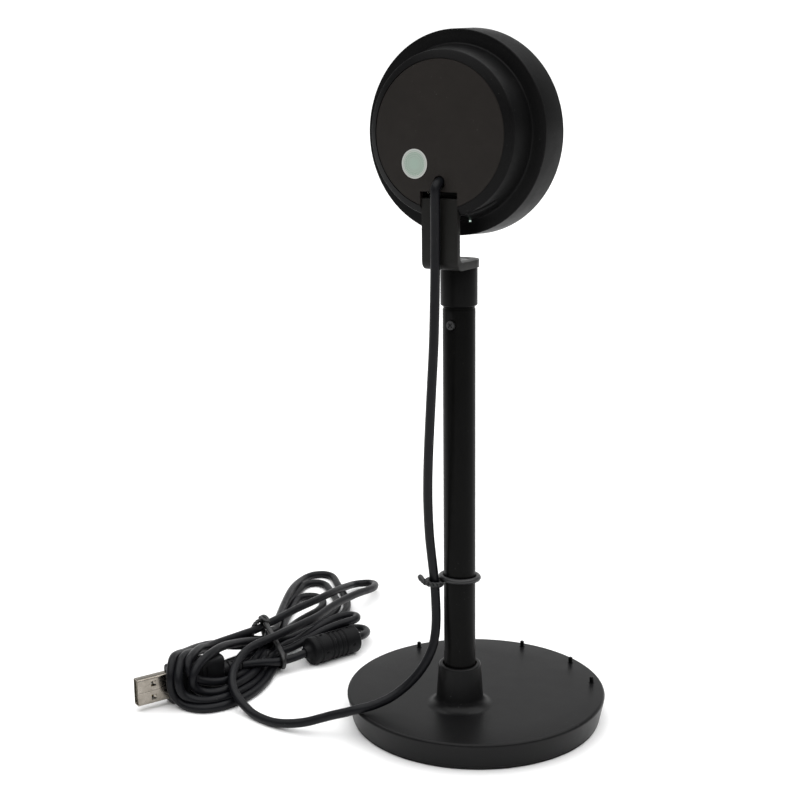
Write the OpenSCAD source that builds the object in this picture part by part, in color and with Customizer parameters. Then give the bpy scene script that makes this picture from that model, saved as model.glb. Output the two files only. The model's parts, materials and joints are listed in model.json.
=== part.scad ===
// Desktop microphone on a slim pole: a weighted round base, a swivelling
// L-shaped bracket, a round head that tilts on it, and a tied USB cable.
// Millimetres, +Z up, the grille faces -Y, origin at the middle of the base
// on the table.

/* [Base] */
// Largest diameter of the base, near its top edge
base_d = 110; // [80:1:150]
// Diameter of the base where it meets the pad
base_foot_d = 106; // [76:1:146]
// Height of the flat top of the base
base_h = 12; // [8:0.5:20]
// Thickness of the moulded cover
cover_wall = 1.8; // [1.2:0.1:3]
// Radius of the rounded top edge
rim_r = 1.2; // [0.5:0.1:3]
// Thickness of the non-slip pad
pad_h = 1.2; // [0.5:0.1:3]
// Diameter of the pegs near the edge
peg_d = 1.8; // [1:0.1:4]
// How far the pegs stand out of the top
peg_out = 2.6; // [0.5:0.1:6]

/* [Boss and pole] */
// Pole axis, sideways from the base centre
pole_x = -2; // [-20:0.5:20]
// Pole axis, behind the base centre
pole_y = 17; // [0:0.5:30]
// Outside diameter of the pole
pole_d = 13; // [8:0.5:20]
// Inside diameter of the pole
pole_bore = 10.6; // [6:0.1:18]
// Height of the top of the pole
pole_top = 180; // [100:1:300]
// Height of the boss lip
boss_top = 30; // [20:1:50]
// Boss diameter at its lip
boss_top_d = 17.5; // [14:0.5:30]
// Boss diameter above the flare
boss_low_d = 19.4; // [15:0.5:34]
// Radius of the flare at the foot of the boss
flare_r = 4.2; // [1:0.2:8]

/* [Swivel and bracket] */
// Collar diameter
collar_d = 14.6; // [10:0.1:24]
// Collar height
collar_h = 15; // [8:0.5:30]
// Swivel screw diameter
swivel_d = 5; // [3:0.5:8]
// Bracket width
bracket_w = 15.8; // [10:0.2:30]
// Thickness of the bracket foot
foot_t = 3; // [1.5:0.1:5]
// Thickness of the bracket plate
plate_t = 2; // [1:0.1:4]
// Rear face of the bracket plate
plate_y = 31.9; // [25:0.1:45]
// Top edge of the bracket plate
plate_top = 222.6; // [180:0.2:300]
// Tilt axis position, front to back
tilt_y = 23.5; // [15:0.5:35]
// Tilt axis height
tilt_z = 226; // [180:0.5:300]
// Diameter of the tilt knuckle
knuckle_d = 7.2; // [5:0.1:12]
// Diameter of the tilt pin
tilt_pin_d = 3; // [2:0.1:5]

/* [Head] */
// Height of the middle of the head
head_z = 246.4; // [150:0.2:350]
// Front edge of the outer band
head_front = 6.4; // [0:0.2:20]
// Band diameter at the front
band_front_d = 78.8; // [50:0.2:120]
// Band diameter at the rear
band_rear_d = 77.5; // [50:0.2:120]
// Depth of the band
band_depth = 14; // [8:0.5:30]
// Diameter of the raised drum at its foot
drum_foot_d = 66.2; // [40:0.2:100]
// Diameter of the raised drum at its rear edge
drum_top_d = 62; // [40:0.2:100]
// Distance from the front edge to the rear edge of the drum
drum_depth = 24.2; // [15:0.2:40]
// Diameter of the flat rear disc
disc_d = 55.8; // [30:0.2:90]
// Overall depth of the head
head_depth = 26.1; // [15:0.1:45]
// Clear opening of the front bezel
grille_open_d = 66.4; // [40:0.2:100]
// Hole size in the grille
grille_hole = 3; // [1:0.1:6]
// Number of rings of holes in the grille
grille_rings = 6; // [2:1:10]
// Diameter of the check label
label_d = 11.2; // [6:0.1:20]

/* [Cable] */
// Cable diameter
cable_d = 3.8; // [2:0.1:6]
// Diameter of the ferrite sleeve
ferrite_d = 13; // [8:0.5:20]
// Length of the ferrite sleeve
ferrite_l = 28; // [15:1:45]
// Height of the tied hank
hank_h = 13; // [4:1:30]

/* [Hidden] */
$fn = 64;
fine = 128;
e = 0.01;
cover_in = base_h - cover_wall;
pole_seat = cover_in + 2.8;
foot_z = pole_top + collar_h + 0.1;
foot_top = foot_z + foot_t;
bend_out = 3.5;
bend_in = 2.5;
head_x = pole_x;
tilt_a = tilt_y - head_front;
tilt_up = tilt_z - head_z;
slot_half = bracket_w / 2 + 0.2;
slot_top = -21.3;
slot_from = 16;
ear_in = bracket_w / 2 + 0.5;
ear_t = 3;
hole_x = -0.3;
hole_up = -18;
hole_d = 4.8;
hole_tall = 5.6;
clamp_z = 234.4;
clamp_h = 4;
lead_y = 25.8;
pegs = [-30, -86, -118, -144];
peg_r = 50.4;
pipe_x = -7.05;
pipe_up = -33.5;
label_x = 10.5;
label_up = -11;
posts = [[-16, 17], [16, 17], [-16, -1], [16, -1]];
screw_z = 172.8;
tie_z = 67.5;
tie_cable = [5.2, 25.2];
ferrite_a = [92.4, -4.6, 6.6];
ferrite_turn = 250;
plug_at = [121, 60, 8.8];
plug_turn = 66;
plug_half = 4.3;
plug_tall = 17;
plug_back = 26;
relief_l = 10;
hank_a = [120, 33];
hank_a_r = 29;
hank_mid = [121, -14];
hank_mid_r = 17;
hank_b = [135, -81];
hank_b_r = 27;
hank_turn = atan2(hank_b[1] - hank_a[1], hank_b[0] - hank_a[0]);

// hand-placed points along the free cable
lead_pts = [[-2.3, lead_y, head_z - 4.6], [-2.3, lead_y, 238], [-2.3, 25.9, 234.6],
            [-2.3, 26.5, 232.4], [-2.3, 28, 230.5]];
exit_pts = [[-2.3, 28, 230.5], [-2.3, 30.2, 229.3], [-2.3, 31.8, 228.9], [-2.25, 33.3, 228.3],
            [-2.15, 34.5, 227.1], [-2.1, 35, 225.7]];
back_pts = [[-2, 35, 222.1], [-1.8, 34.6, 214], [-1.6, 34.3, 206], [-1.3, 34.2, 190]];
run_pts = [[-1.3, 34.2, 188], [-0.6, 34.2, 168], [1, 33.8, 146], [3, 32.8, 122],
           [4.4, 31.2, 104], [5.1, 29, 88], [5.3, 26.8, 77], [5.2, 25.2, 67.5],
           [4.8, 24.9, 59], [4.2, 25.6, 50], [4.2, 27.2, 42], [5.6, 29.2, 35.5],
           [9, 31.6, 28.5], [14, 34.8, 22], [19.6, 40, 17.2], [24.4, 43.9, 14.9],
           [28.6, 47.6, 13.9], [34.7, 49.7, 11.6], [42, 51.2, 8.9], [51.8, 54, 5.4],
           [60, 55.6, 3.6], [67, 55.6, 2.4], [76.5, 54.3, 2.2], [83.6, 52, 3.4], [89.8, 50, 6], [94.4, 47.2, 7.6]];
tail_pts = [[106, -41, 4.5], [100, -44.5, 4.3], [94, -47.5, 4.2], [88.5, -48, 4.6],
            [83.6, -44.4, 5.4], [81.2, -38.4, 6.2],
            [ferrite_a[0] - 10.3, ferrite_a[1] - 28.2, 6.6],
            [ferrite_a[0] - 5, ferrite_a[1] - 13.7, 6.6],
            [ferrite_a[0] + 0.3, ferrite_a[1] + 0.8, 6.6],
            [94.6, 1.5, 6], [98.5, 9, 5]];

function unit(v) = v / norm(v);
function mix3(a, b, c, d, t) = 0.5 * (2 * b + (c - a) * t + (2 * a - 5 * b + 4 * c - d) * t * t
    + (3 * b - a - 3 * c + d) * t * t * t);
function smooth(p, k) = [for (i = [0 : len(p) - 2]) for (j = [0 : k - 1])
    mix3(p[max(i - 1, 0)], p[i], p[i + 1], p[min(i + 2, len(p) - 1)], j / k), p[len(p) - 1]];
function along(p, i) = unit(p[min(i + 1, len(p) - 1)] - p[max(i - 1, 0)]);
function side_of(v, t) = unit(v - (v * t) * t);
function sides(p, i, v) = i >= len(p) ? [] :
    let (s = side_of(v, along(p, i))) concat([s], sides(p, i + 1, s));
function arc(c, r, a0, a1, n) = [for (i = [0 : n]) c + r * [cos(a0 + (a1 - a0) * i / n),
    sin(a0 + (a1 - a0) * i / n)]];

module tube(pts, d, start, n = 8) {
    s = sides(pts, 0, start);
    m = len(pts);
    ring = [for (i = [0 : m - 1]) let (t = along(pts, i), a = s[i], b = cross(t, a))
        for (k = [0 : n - 1]) pts[i] + d / 2 * (cos(360 * k / n) * a + sin(360 * k / n) * b)];
    faces = concat(
        [[for (k = [n - 1 : -1 : 0]) k]],
        [[for (k = [0 : n - 1]) (m - 1) * n + k]],
        [for (i = [0 : m - 2]) for (k = [0 : n - 1]) let (q = (k + 1) % n)
            [i * n + k, i * n + q, (i + 1) * n + q]],
        [for (i = [0 : m - 2]) for (k = [0 : n - 1]) let (q = (k + 1) % n)
            [i * n + k, (i + 1) * n + q, (i + 1) * n + k]]);
    polyhedron(points = ring, faces = [for (f = faces) [for (k = [len(f) - 1 : -1 : 0]) f[k]]]);
}

// head parts are drawn along +Z from the front edge, with -Y up
module at_head() translate([head_x, head_front, head_z]) rotate([-90, 0, 0]) children();
module at_pole(z = 0) translate([pole_x, pole_y, z]) children();
module x_rod(d, x0, x1) translate([x0, 0, 0]) rotate([0, 90, 0]) cylinder(d = d, h = x1 - x0);
module ring(od, id, h) difference() {
    cylinder(d = od, h = h);
    translate([0, 0, -1]) cylinder(d = id, h = h + 2);
}

// ---------------------------------------------------------------- stand
module base_cover() color("#3f3f41") difference() {
    union() {
        rotate_extrude($fn = fine) polygon(concat(
            [[0, cover_in], [base_d / 2 - 2.3, cover_in], [base_foot_d / 2 - 1.8, pad_h],
             [base_foot_d / 2, pad_h], [base_d / 2, base_h - rim_r]],
            arc([base_d / 2 - rim_r, base_h - rim_r], rim_r, 15, 90, 5),
            [[0, base_h]]));
        at_pole() rotate_extrude($fn = 96) polygon(concat(
            [[0, cover_in + e], [boss_low_d / 2 + flare_r, cover_in + e]],
            arc([boss_low_d / 2 + flare_r, base_h + flare_r], flare_r, 270, 180, 8),
            [[boss_top_d / 2, boss_top - 1]],
            arc([boss_top_d / 2 - 0.8, boss_top - 0.8], 0.8, 0, 90, 4),
            [[pole_d / 2 + 0.7, boss_top], [pole_d / 2 + 0.3, boss_top - 0.9],
             [0, boss_top - 0.9]]));
    }
    at_pole(pole_seat) cylinder(d = pole_d + 0.06, h = 40);
    at_pole(0) cylinder(d = 5.4, h = 40);
    for (a = pegs) rotate(a) translate([peg_r, 0, base_h - 1]) cylinder(d = peg_d, h = 5, $fn = 24);
}

module base_weight() color("#77787a") difference() {
    translate([0, 0, pad_h]) cylinder(d = base_foot_d - 4.4, h = cover_in - pad_h, $fn = fine);
    at_pole(0) cylinder(d = 5.4, h = 40);
    at_pole(pad_h - 1) cylinder(d = 10.6, h = 6.2);
}

module base_pad() color("#1d1d1e") cylinder(d = base_foot_d - 0.8, h = pad_h, $fn = fine);

module rim_pegs() color("#141415")
    for (a = pegs) rotate(a) translate([peg_r, 0, base_h - 1])
        cylinder(d = peg_d - 0.04, h = peg_out + 1, $fn = 24);

module base_bolt() color("#9a9c9f") at_pole() difference() {
    union() {
        translate([0, 0, 1.6]) cylinder(d = 8.5, h = 3.8);
        translate([0, 0, 5.3]) cylinder(d = 5, h = 20.7);
    }
    translate([0, 0, 1.5]) cylinder(d = 4.4, h = 2.4, $fn = 6);
}

module bolt_washer() color("#a5a7aa") at_pole(5.4) ring(10, 5.3, 1);

module pole_insert() color("#8f8468") at_pole(pole_seat) ring(pole_bore - 0.06, 5.04, 15);

module pole() color("#2b2b2d") difference() {
    union() {
        at_pole(pole_seat) cylinder(d = pole_d, h = pole_top - pole_seat - 1.2, $fn = 96);
        at_pole(pole_top - 1.3) cylinder(d = pole_d - 0.5, h = 1.3, $fn = 96);
    }
    at_pole(0) cylinder(d = pole_bore, h = 400);
    at_pole(screw_z) rotate([-90, 0, 0]) cylinder(d = 2.6, h = 20, $fn = 32);
    at_pole(screw_z) translate([0, 5.9, 0]) rotate([-90, 0, 0]) cylinder(d = 3.8, h = 20, $fn = 32);
}

module swivel_collar() color("#29292b") difference() {
    union() {
        at_pole(pole_top + 0.4) cylinder(d = collar_d, h = collar_h - 0.4, $fn = 96);
        at_pole(pole_top) cylinder(d1 = collar_d - 0.8, d2 = collar_d, h = 0.4 + e, $fn = 96);
        at_pole(pole_top - 20) cylinder(d = pole_bore - 0.06, h = 21);
    }
    at_pole(pole_top + collar_h - 1.2) cylinder(d = 11, h = 5);
    at_pole(pole_top - 2) cylinder(d = swivel_d + 0.04, h = 40);
    at_pole(screw_z) rotate([-90, 0, 0]) translate([0, 0, 1.4]) cylinder(d = 2.46, h = 20, $fn = 32);
}

module pole_screw() color("#3a3a3c") at_pole(screw_z) rotate([-90, 0, 0]) difference() {
    union() {
        translate([0, 0, 1.6]) cylinder(d = 2.4, h = 4.4, $fn = 32);
        translate([0, 0, 5.9]) cylinder(d = 3.6, h = 1.2, $fn = 48);
    }
    for (q = [45, 135]) rotate(q) translate([-1.1, -0.22, 6.5]) cube([2.2, 0.44, 2]);
}

module swivel_screw() color("#38383a") at_pole() difference() {
    union() {
        translate([0, 0, pole_top - 1]) cylinder(d = swivel_d, h = foot_top - pole_top - 1);
        translate([0, 0, foot_top - 2]) cylinder(d1 = swivel_d, d2 = 7.8, h = 1.9);
    }
    translate([0, 0, foot_top - 1.4]) cylinder(d = 2.4, h = 3, $fn = 6);
}

module wave_washer() color("#a9abad") at_pole(pole_top + collar_h - 1.2) ring(10.4, 5.6, 1.25);

// one twist tie: a turn round the pole and a turn round the cable
module pole_tie() color("#161617") {
    at_pole(tie_z) rotate_extrude() translate([pole_d / 2 + 1.2, 0]) circle(d = 2.3, $fn = 24);
    translate([tie_cable[0], tie_cable[1], tie_z - 1.2]) rotate_extrude()
        translate([cable_d / 2 + 1.15, 0]) circle(d = 2, $fn = 24);
}

// ---------------------------------------------------------------- bracket
module bracket() color("#2d2d2f") difference() {
    union() {
        translate([pole_x - bracket_w / 2, 0, 0]) rotate([90, 0, 90]) linear_extrude(bracket_w)
            polygon(concat(
                [[plate_y, plate_top - 0.3], [plate_y - 0.3, plate_top], [27, plate_top],
                 [26.4, tilt_z - 1], [tilt_y, tilt_z], [tilt_y - 1, tilt_z - 3],
                 [26.6, plate_top - 4.2], [plate_y - plate_t, plate_top - 7]],
                arc([plate_y - plate_t - bend_in, foot_top + bend_in], bend_in, 0, -90, 6),
                [[pole_y - bracket_w / 2, foot_top], [pole_y - bracket_w / 2, foot_z]],
                arc([plate_y - bend_out, foot_z + bend_out], bend_out, -90, 0, 8)));
        translate([pole_x, tilt_y, tilt_z]) x_rod(knuckle_d, -bracket_w / 2, bracket_w / 2);
    }
    translate([pole_x, tilt_y, tilt_z]) x_rod(tilt_pin_d + 0.1, -20, 20);
    at_pole(foot_z - 1) cylinder(d = swivel_d + 0.1, h = 10);
    at_pole(foot_top - 2.05) cylinder(d1 = swivel_d + 0.1, d2 = 8.1, h = 2.06);
    difference() {
        translate([pole_x - 20, pole_y - 20, foot_z - 2]) cube([40, 20, foot_t + 4]);
        at_pole(foot_z - 3) cylinder(d = bracket_w, h = foot_t + 6, $fn = 96);
    }
}

// ---------------------------------------------------------------- head
module head_shell() color("#262628") difference() {
    union() {
        at_head() rotate_extrude($fn = fine) polygon([
            [band_front_d / 2 - 0.5, 0], [band_front_d / 2, 0.6],
            [band_rear_d / 2 + 0.05, band_depth - 0.5], [band_rear_d / 2 - 0.4, band_depth],
            [drum_foot_d / 2 + 0.8, band_depth], [drum_foot_d / 2 + 0.1, band_depth + 0.3],
            [drum_foot_d / 2 - 0.4, band_depth + 1.2], [drum_top_d / 2 + 0.9, 19.4],
            [drum_top_d / 2 + 0.2, drum_depth - 0.8], [drum_top_d / 2 - 0.3, drum_depth],
            [disc_d / 2, head_depth], [disc_d / 2, head_depth - 2],
            [disc_d / 2 - 2.3, head_depth - 2], [disc_d / 2 - 2.3, head_depth - 3.2],
            [28.6, head_depth - 3.2], [29, 22], [30.5, band_depth], [31, band_depth - 2],
            [37.2, band_depth - 2], [37.2, 0]]);
        // ears that carry the tilt pin
        at_head() for (m = [0, 1]) mirror([m, 0, 0])
            translate([ear_in, 0, 0]) rotate([90, 0, 90]) linear_extrude(ear_t) difference() {
                union() {
                    translate([29.35, band_depth - 1.5]) mirror([1, 0]) square([9, 8.6]);
                    translate([-tilt_up, tilt_a]) circle(r = 4.2, $fn = 48);
                }
                translate([-tilt_up, tilt_a]) circle(d = tilt_pin_d + 0.04, $fn = 48);
            }
    }
    // slot that lets the bracket through the bottom of the drum
    at_head() translate([-slot_half, -slot_top, slot_from]) cube([2 * slot_half, 40, 40]);
    at_head() translate([pipe_x, -pipe_up, 0]) cylinder(d = 1.8, h = 40, $fn = 32);
}

module rear_disc() color("#2f2d2b") difference() {
    at_head() translate([0, 0, head_depth - 2]) cylinder(d = disc_d - 0.1, h = 2, $fn = fine);
    at_head() translate([-slot_half, -slot_top, slot_from]) cube([2 * slot_half, 40, 40]);
    at_head() cable_hole();
}

module cable_hole() {
    reach = (hole_tall - hole_d) / 2;
    for (m = [-reach, reach])
        translate([hole_x, m - hole_up, 0]) cylinder(d = hole_d, h = 60, $fn = 48);
    translate([hole_x - hole_d / 2, -reach - hole_up, 0]) cube([hole_d, 2 * reach, 60]);
}

// saddle on the inside of the rear disc that takes the pull of the cable
module cord_clamp() color("#0f0f10") difference() {
    translate([head_x + hole_x - 4.4, 22.4, clamp_z])
        cube([8.8, head_front + head_depth - 2 - 22.4, clamp_h]);
    translate([head_x + hole_x, lead_y, clamp_z - 1]) cylinder(d = cable_d + 0.1, h = 10);
}

module front_bezel() color("#232325") at_head() rotate_extrude($fn = fine) polygon([
    [grille_open_d / 2, -0.3], [grille_open_d / 2 + 0.9, -1.2], [36.3, -1.2], [37.1, -0.4],
    [37.1, 4.4], [grille_open_d / 2 + 1.4, 4.4], [grille_open_d / 2 + 1.4, 1.2],
    [grille_open_d / 2, 1.2]]);

module grille() color("#343436") at_head() difference() {
    translate([0, 0, 1.2]) cylinder(d = grille_open_d + 2.6, h = 1.2, $fn = fine);
    cylinder(d = grille_hole, h = 8, $fn = 24);
    for (r = [1 : grille_rings]) for (k = [0 : 6 * r - 1]) rotate(60 * k / r)
        translate([5 * r, 0, 0]) cylinder(d = grille_hole, h = 8, $fn = 24);
}

module foam() color("#3b3b3d") at_head() translate([0, 0, 2.4])
    cylinder(d = grille_open_d + 2.2, h = 2, $fn = 96);

module baffle() color("#4a4a4c") at_head() difference() {
    union() {
        translate([0, 0, 4.4]) cylinder(d = 74.2, h = 2, $fn = fine);
        for (p = posts) translate([p[0], -p[1], 6]) cylinder(d = 5, h = 9.6, $fn = 32);
    }
    translate([0, 0, 4]) cylinder(d = 16.8, h = 4);
    for (p = posts) translate([p[0], -p[1], 11.6]) cylinder(d = 1.96, h = 10, $fn = 24);
}

module capsule_mount() color("#1a1a1b") at_head() difference() {
    union() {
        translate([0, 0, 4.6]) cylinder(d = 16.74, h = 7.8);
        translate([0, 0, 6.4]) cylinder(d = 22, h = 1.2);
    }
    translate([0, 0, 4]) cylinder(d = 14.04, h = 7.4);
    cylinder(d = 4.6, h = 20, $fn = 32);
}

module capsule() color("#b9b9bb") at_head() difference() {
    translate([0, 0, 5.4]) cylinder(d = 14, h = 6);
    for (k = [0 : 5]) rotate(60 * k) translate([3.6, 0, 5]) cylinder(d = 1.4, h = 1.4, $fn = 24);
}

module capsule_leads() color("#a33b2f") at_head() for (s = [-1.3, 1.3])
    translate([s, 0, 11.4]) cylinder(d = 0.9, h = 4.2, $fn = 16);

module circuit_board() color("#1f5a37") at_head() difference() {
    translate([-20, -21, 15.6]) cube([40, 26, 1.6]);
    for (p = posts) translate([p[0], -p[1], 10]) cylinder(d = 2.2, h = 10, $fn = 24);
}

module board_parts() color("#202022") at_head() {
    translate([-10, -15, 17.2]) cube([7, 7, 1.2]);
    translate([3, -18, 17.2]) cube([5, 4, 1]);
    translate([11, -9, 17.2]) cylinder(d = 5, h = 5.4, $fn = 32);
    translate([-14, -6, 17.2]) cylinder(d = 4, h = 5, $fn = 32);
    translate([2, -11, 17.2]) cube([3.2, 1.6, 1.1]);
}

module board_screws() color("#a9abad") at_head() for (p = posts)
    translate([p[0], -p[1], 0]) difference() {
        union() {
            translate([0, 0, 12.2]) cylinder(d = 1.9, h = 5.2, $fn = 24);
            translate([0, 0, 17.2]) cylinder(d = 3.6, h = 1.2, $fn = 32);
        }
        for (q = [0, 90]) rotate(q) translate([-1.1, -0.2, 17.8]) cube([2.2, 0.4, 2]);
    }

module lead_connector() color("#d9d6cc") at_head() translate([-4.3, 0.2, 17.2]) cube([9, 4.4, 4]);

module inner_lead() color("#2a2a2c") tube(lead_pts, cable_d, [1, 0, 0]);

module light_pipe() color("#e6efe9") at_head() translate([pipe_x, -pipe_up, 0]) union() {
    translate([0, 0, 8]) cylinder(d = 1.74, h = 6.2, $fn = 32);
    translate([0, 0, 10.8]) cylinder(d = 3, h = 1.2, $fn = 32);
}

module status_led() color("#cfe8d5") at_head()
    translate([pipe_x - 1.5, -pipe_up - 1.2, 6.4]) cube([3, 2.4, 1.6]);

module check_label() color("#dfe9e2") at_head() translate([label_x, -label_up, head_depth])
    cylinder(d = label_d, h = 0.15, $fn = 64);

module tilt_pin() color("#a0a2a5") translate([pole_x, tilt_y, tilt_z]) union() {
    x_rod(tilt_pin_d, -ear_in - ear_t - 2.8, ear_in + ear_t + 0.1);
    x_rod(6, ear_in + ear_t, ear_in + ear_t + 1.5);
}

module tilt_nut() color("#a0a2a5") translate([pole_x - ear_in - ear_t - 2.4, tilt_y, tilt_z])
    rotate([0, 90, 0]) difference() {
        cylinder(d = 6.3, h = 2.4, $fn = 6);
        translate([0, 0, -1]) cylinder(d = tilt_pin_d + 0.04, h = 5);
    }

module friction_washers() color("#c9c2ae") translate([pole_x, tilt_y, tilt_z])
    for (s = [-1, 1]) translate([s > 0 ? bracket_w / 2 : -ear_in, 0, 0]) rotate([0, 90, 0])
        ring(7, tilt_pin_d + 0.1, 0.5);

// ---------------------------------------------------------------- cable
module cord_exit() color("#18181b") tube(exit_pts, cable_d, [1, 0, 0]);
module cord_back() color("#18181b") tube(back_pts, cable_d, [1, 0, 0]);
module cord_run() color("#18181b") tube(smooth(run_pts, 2), cable_d, [1, 0, 0]);
module cord_tail() color("#18181b") tube(smooth(tail_pts, 2), cable_d, [0, 0, 1]);

module hank_round(i, grow) translate([hank_a, hank_mid, hank_b][i])
    circle(r = [hank_a_r, hank_mid_r, hank_b_r][i] + grow, $fn = 64);
// two round-ended lobes that meet at the tie
module hank_outline(grow) for (i = [0, 1]) hull() {
    hank_round(i, grow);
    hank_round(i + 1, grow);
}

module plug_space(grow) translate(plug_at) rotate(plug_turn) {
    translate([-plug_back - relief_l - grow, -plug_half - grow, -20])
        cube([plug_back + relief_l + grow, 2 * (plug_half + grow), 60]);
    translate([-1, -2.25 - grow, -20]) cube([22, 4.5 + 2 * grow, 60]);
}

module cord_hank() color("#1b1b1e") difference() {
    linear_extrude(hank_h) hank_outline(0);
    plug_space(0.2);
}

module hank_tie() color("#131314") difference() {
    intersection() {
        linear_extrude(hank_h + 1.2) hank_outline(1.2);
        translate(hank_mid) rotate(hank_turn) translate([-1.2, -60, 0]) cube([2.4, 120, 60]);
    }
    translate([0, 0, -1]) linear_extrude(hank_h + 1) hank_outline(0);
}

module ferrite_sleeve() color("#202023") translate(ferrite_a) rotate([0, 90, ferrite_turn])
    rotate_extrude() polygon([
        [2, 0], [3.4, 0], [4.6, 1.6], [6.1, 2], [6.5, 2.6], [6.5, 10.4], [6.1, 10.8], [6.1, 11.6],
        [6.5, 12], [6.5, 13], [6.1, 13.4], [6.1, 14.2], [6.5, 14.6], [6.5, 15.6], [6.1, 16],
        [6.1, 16.8], [6.5, 17.2], [6.5, ferrite_l - 2.2], [6, ferrite_l - 1], [3.2, ferrite_l],
        [2, ferrite_l], [2, ferrite_l - 2.8], [5.3, ferrite_l - 2.8], [5.3, 3], [2, 3]]);

module ferrite_core() color("#4b4b50") translate(ferrite_a) rotate([0, 90, ferrite_turn])
    translate([0, 0, 3]) ring(10.56, 4.1, ferrite_l - 5.8);

module plug_body() color("#1c1c1f") translate(plug_at) rotate(plug_turn) difference() {
    union() {
        translate([-plug_back, -plug_half, -plug_tall / 2]) cube([plug_back, 2 * plug_half, plug_tall]);
        rotate([0, -90, 0]) translate([0, 0, plug_back - e]) cylinder(d1 = 8, d2 = 5, h = relief_l, $fn = 48);
    }
    translate([-8, -2.27, -6.02]) cube([10, 4.54, 12.04]);
}

module plug_shell() color("#c3bfb6") translate(plug_at) rotate(plug_turn) difference() {
    translate([-8, -2.25, -6]) cube([23, 4.5, 12]);
    translate([-7.6, -1.95, -5.7]) cube([40, 3.9, 11.4]);
    for (s = [-3.1, 3.1]) translate([6.6, -5, s - 1.1]) cube([2.2, 10, 2.2]);
}

module plug_tongue() color("#efece4") translate(plug_at) rotate(plug_turn)
    translate([-7.6, -1.95, -5.6]) cube([20.8, 1.9, 11.2]);

base_cover();
base_weight();
base_pad();
rim_pegs();
base_bolt();
bolt_washer();
pole_insert();
pole();
swivel_collar();
pole_screw();
swivel_screw();
wave_washer();
pole_tie();
bracket();
head_shell();
rear_disc();
cord_clamp();
front_bezel();
grille();
foam();
baffle();
capsule_mount();
capsule();
capsule_leads();
circuit_board();
board_parts();
board_screws();
lead_connector();
inner_lead();
light_pipe();
status_led();
check_label();
tilt_pin();
tilt_nut();
friction_washers();
cord_exit();
cord_back();
cord_run();
cord_tail();
cord_hank();
hank_tie();
ferrite_sleeve();
ferrite_core();
plug_body();
plug_shell();
plug_tongue();
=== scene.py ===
# Looks for the desktop microphone: materials, fine shapes and the cables, built round the CAD frame.
import json
import math
from math import cos, pi, radians, sin

import bmesh
import bpy
import numpy as np
from mathutils import Matrix, Vector

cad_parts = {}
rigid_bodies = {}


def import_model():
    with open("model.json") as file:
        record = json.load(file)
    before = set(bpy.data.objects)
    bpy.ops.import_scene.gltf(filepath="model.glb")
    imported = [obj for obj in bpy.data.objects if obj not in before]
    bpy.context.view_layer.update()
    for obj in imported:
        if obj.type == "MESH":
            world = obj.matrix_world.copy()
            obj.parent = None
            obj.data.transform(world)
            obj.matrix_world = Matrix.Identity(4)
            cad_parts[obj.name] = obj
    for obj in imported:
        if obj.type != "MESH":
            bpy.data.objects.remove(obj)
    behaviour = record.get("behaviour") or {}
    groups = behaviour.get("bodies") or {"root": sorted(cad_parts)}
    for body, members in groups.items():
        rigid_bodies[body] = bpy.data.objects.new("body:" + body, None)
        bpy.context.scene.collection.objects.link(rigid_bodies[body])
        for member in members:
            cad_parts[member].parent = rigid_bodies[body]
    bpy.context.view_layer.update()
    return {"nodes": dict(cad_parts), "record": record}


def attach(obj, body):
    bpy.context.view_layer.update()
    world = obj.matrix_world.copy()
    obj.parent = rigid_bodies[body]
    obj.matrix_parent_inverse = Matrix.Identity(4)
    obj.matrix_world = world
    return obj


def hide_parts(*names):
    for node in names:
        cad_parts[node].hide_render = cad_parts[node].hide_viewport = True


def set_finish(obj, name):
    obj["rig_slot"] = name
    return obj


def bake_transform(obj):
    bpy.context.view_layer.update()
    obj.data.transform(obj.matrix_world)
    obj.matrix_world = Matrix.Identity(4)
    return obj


for spare in list(bpy.data.objects):
    bpy.data.objects.remove(spare)
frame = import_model()
scene = bpy.context.scene
MM = 0.001

# ------------------------------------------------------------------ sizes in millimetres, from the part
POLE = (-2.0, 17.0)
POLE_R = 6.5
PEG_RING = 50.4
HEAD_X = -2.0
HEAD_Z = 246.4
HEAD_FRONT = 6.4
HEAD_DEPTH = 26.1
LABEL_X, LABEL_Z = HEAD_X + 10.5, HEAD_Z - 11
PIPE_X, PIPE_Z = HEAD_X - 7.05, HEAD_Z - 33.5
TIP_Z = HEAD_Z - 32.9
TILT = (-2.0, 23.5, 226.0)
CABLE = 3.8
TIE_Z = 67.5
TIE_CABLE = (5.2, 25.2)
FERRITE_END = (92.4, -4.6, 6.6)
FERRITE_TURN = 250.0
FERRITE_LEN = 28.0
FERRITE_R = 6.5
PLUG = (121.0, 60.0, 8.8)
PLUG_TURN = 66.0
PLUG_BACK = 26.0
PLUG_HALF = 4.3
PLUG_TALL = 17.0
SHELL_OUT = 15.0
SHELL_HALF = (2.25, 6.0)
WINDOW_UP = 3.1
BRACKET_W = 15.8


# ------------------------------------------------------------------ camera
def put(name, data):
    """Adds an object that shows the data to the scene."""
    ob = bpy.data.objects.new(name, data)
    scene.collection.objects.link(ob)
    return ob


def aim(place, yaw, pitch, roll):
    """A camera matrix from compass yaw, downward pitch and roll in degrees."""
    y, p, q = (radians(v) for v in (yaw, pitch, roll))
    ahead = Vector((cos(p) * sin(y), cos(p) * cos(y), -sin(p)))
    right = Vector((cos(y), -sin(y), 0))
    up = right.cross(ahead)
    right, up = right * cos(q) + up * sin(q), up * cos(q) - right * sin(q)
    turn = Matrix((right, up, -ahead)).transposed().to_4x4()
    return Matrix.Translation(Vector(place) * MM) @ turn


camera_data = bpy.data.cameras.new("camera")
camera_data.sensor_width = 36
camera_data.lens = 63.74
camera_data.clip_start = 0.01
camera = put("camera", camera_data)
camera.matrix_world = aim((-276.3, 496.1, 264.5), 147.754, 12.523, -0.648)
scene.camera = camera


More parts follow.
